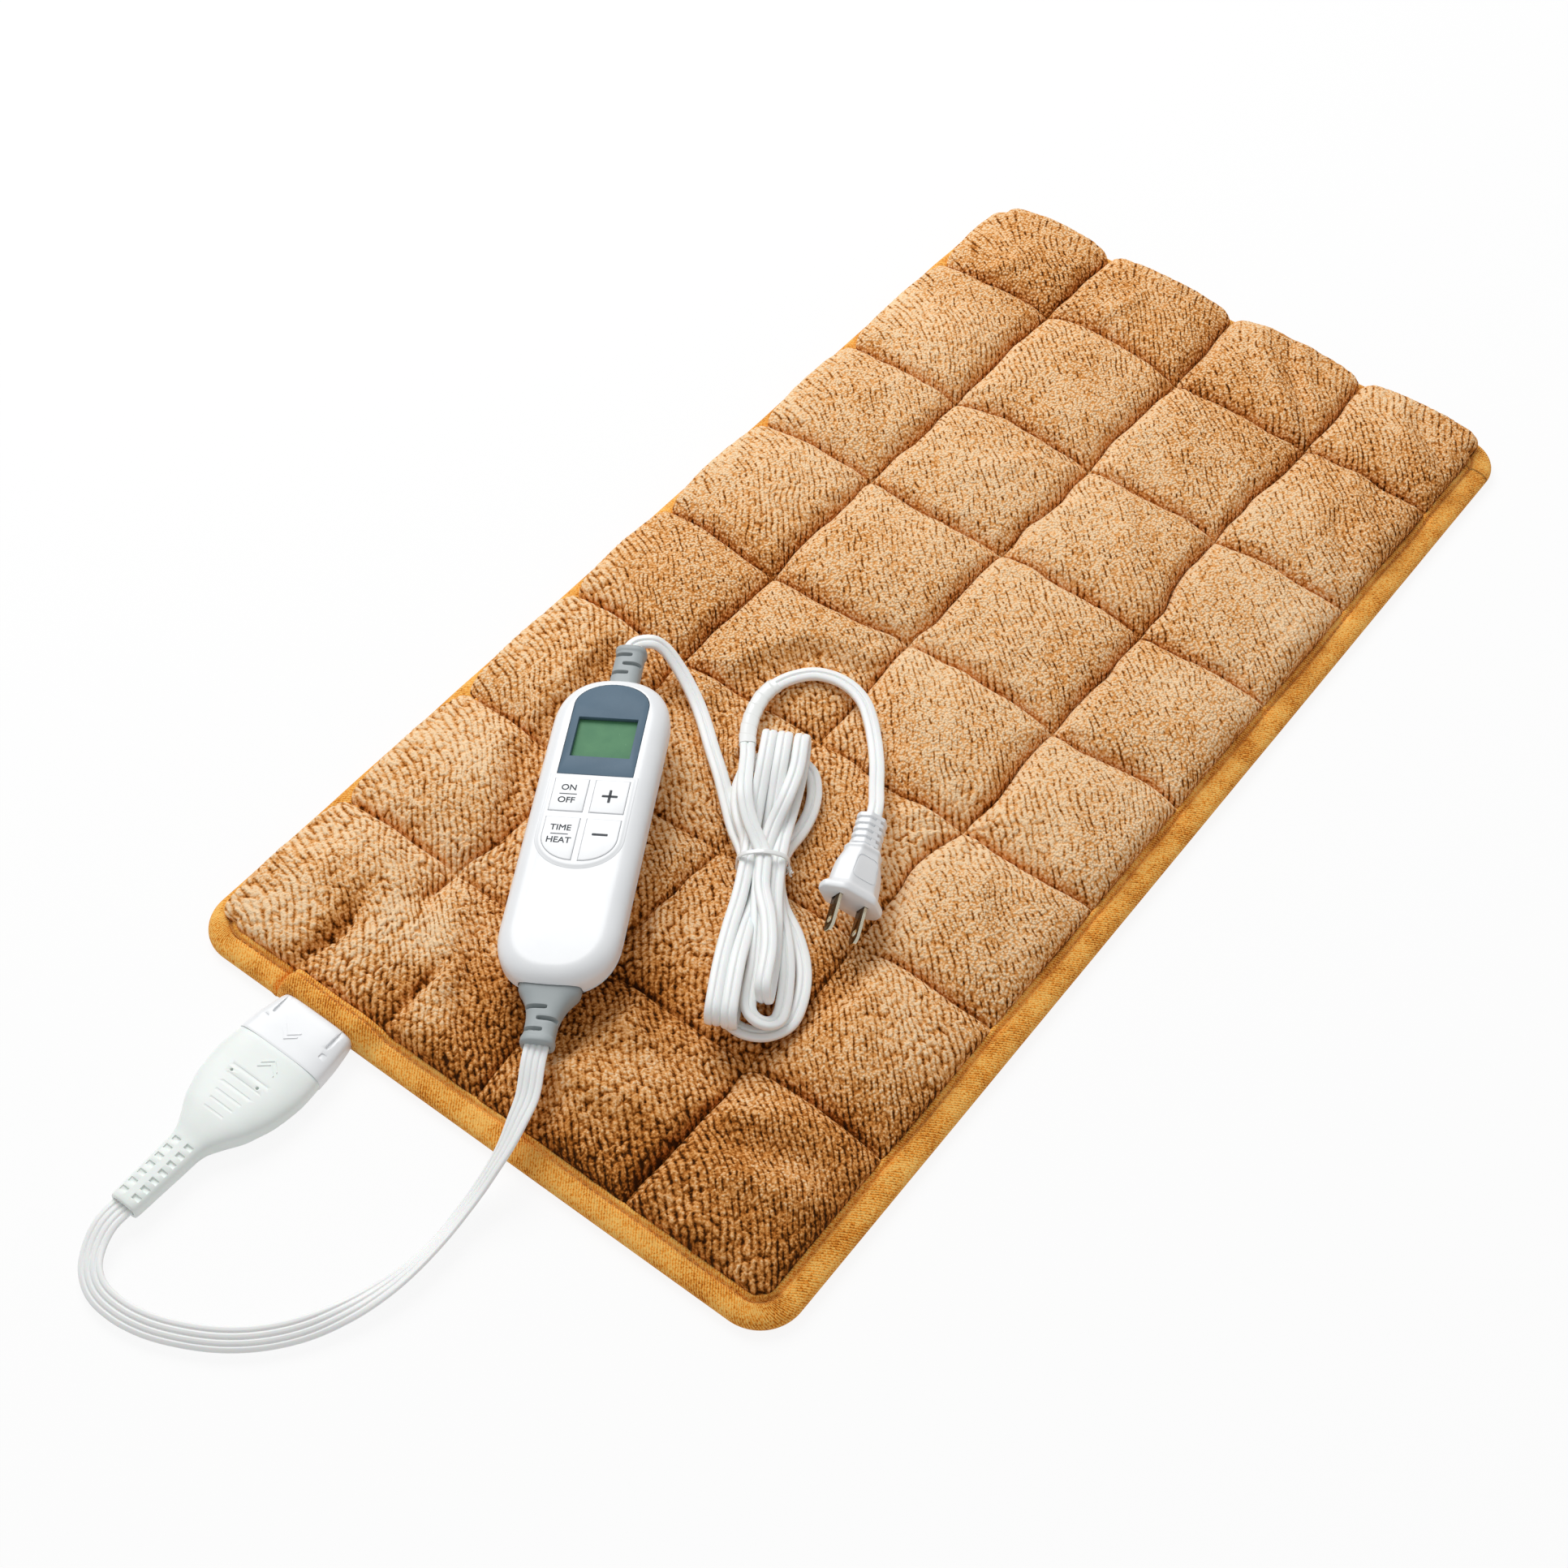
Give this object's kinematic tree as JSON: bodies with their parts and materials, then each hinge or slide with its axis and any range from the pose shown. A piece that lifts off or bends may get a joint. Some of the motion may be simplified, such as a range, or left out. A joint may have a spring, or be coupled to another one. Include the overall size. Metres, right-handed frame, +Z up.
{
  "type": "heating pad with controller",
  "caption": "Quilted plush heating pad with an edge binding, a pull-apart cord connector, a hand controller with display and keys, and a mains lead tied in a hank.",
  "frame": {"origin": "middle of the pad's underside, on the surface it lies on", "axes": "+X across the pad, +Y along the pad away from its connector, +Z up through the plush"},
  "size_m": [0.305, 0.7526, 0.04],
  "materials": {
    "plush": "short plush pile, caramel brown",
    "batting": "polyester fibre filling",
    "felt": "thin needle felt",
    "backing": "plain brushed cloth",
    "binding": "brushed twill tape",
    "wire": "silicone insulation",
    "shell": "white, half gloss",
    "cream": "soft moulded PVC, off-white",
    "grey": "soft moulded PVC, grey",
    "slate": "printed face, gloss",
    "display": "green reflective LCD",
    "cord": "white PVC cord jacket",
    "film": "white plastic film",
    "board": "glass-fibre laminate, green",
    "dark": "black component moulding",
    "glass": "clear tube",
    "brass": "bright, uncoated",
    "steel": "zinc plated"
  },
  "bodies": {
    "pad": {"plush_top_panel": "plush", "batting": "batting", "element_carrier": "felt", "heating_wire": "wire", "back_panel": "backing", "edge_binding": "binding", "thermal_cut_out_near": "dark", "thermal_cut_out_far": "dark", "socket_shell": "shell", "socket_pin_1": "brass", "socket_pin_2": "brass", "socket_pin_3": "brass", "socket_pin_4": "brass"},
    "lead_set": {"connector_body": "cream", "connector_sleeve_1": "brass", "connector_sleeve_2": "brass", "connector_sleeve_3": "brass", "connector_sleeve_4": "brass", "heater_cord": "cord", "upper_housing": "shell", "lower_housing": "shell", "housing_screw_1": "steel", "housing_screw_2": "steel", "housing_screw_3": "steel", "housing_screw_4": "steel", "display_bezel": "slate", "lcd_module": "display", "tact_switch_on_off": "dark", "tact_switch_plus": "dark", "tact_switch_time_heat": "dark", "tact_switch_minus": "dark", "circuit_board": "board", "microcontroller": "dark", "film_capacitor": "wire", "triac": "dark", "fuse": "glass", "top_strain_relief": "grey", "bottom_strain_relief": "grey", "mains_cord_run": "cord", "cord_hank": "cord", "plug_cord_run": "cord", "cord_film": "film", "twist_tie": "film", "mains_plug_body": "shell", "plug_blade_left": "brass", "plug_blade_right": "brass"},
    "on_off_key": {"button_on_off": "shell"},
    "plus_key": {"button_plus": "shell"},
    "time_heat_key": {"button_time_heat": "shell"},
    "minus_key": {"button_minus": "shell"}
  },
  "joints": [
    {"name": "connector_pull", "type": "slide", "parent": "pad", "child": "lead_set", "axis": [0, -1, 0], "range_m": [0, 0.02]},
    {"name": "on_off_press", "type": "slide", "parent": "lead_set", "child": "on_off_key", "axis": [0.1068, 0.0586, -0.9925], "range_m": [0, 0.0008], "stiffness_N_per_m": 1500, "springref_m": -0.0006},
    {"name": "plus_press", "type": "slide", "parent": "lead_set", "child": "plus_key", "axis": [0.1068, 0.0586, -0.9925], "range_m": [0, 0.0008], "stiffness_N_per_m": 1500, "springref_m": -0.0006},
    {"name": "time_heat_press", "type": "slide", "parent": "lead_set", "child": "time_heat_key", "axis": [0.1068, 0.0586, -0.9925], "range_m": [0, 0.0008], "stiffness_N_per_m": 1500, "springref_m": -0.0006},
    {"name": "minus_press", "type": "slide", "parent": "lead_set", "child": "minus_key", "axis": [0.1068, 0.0586, -0.9925], "range_m": [0, 0.0008], "stiffness_N_per_m": 1500, "springref_m": -0.0006}
  ]
}
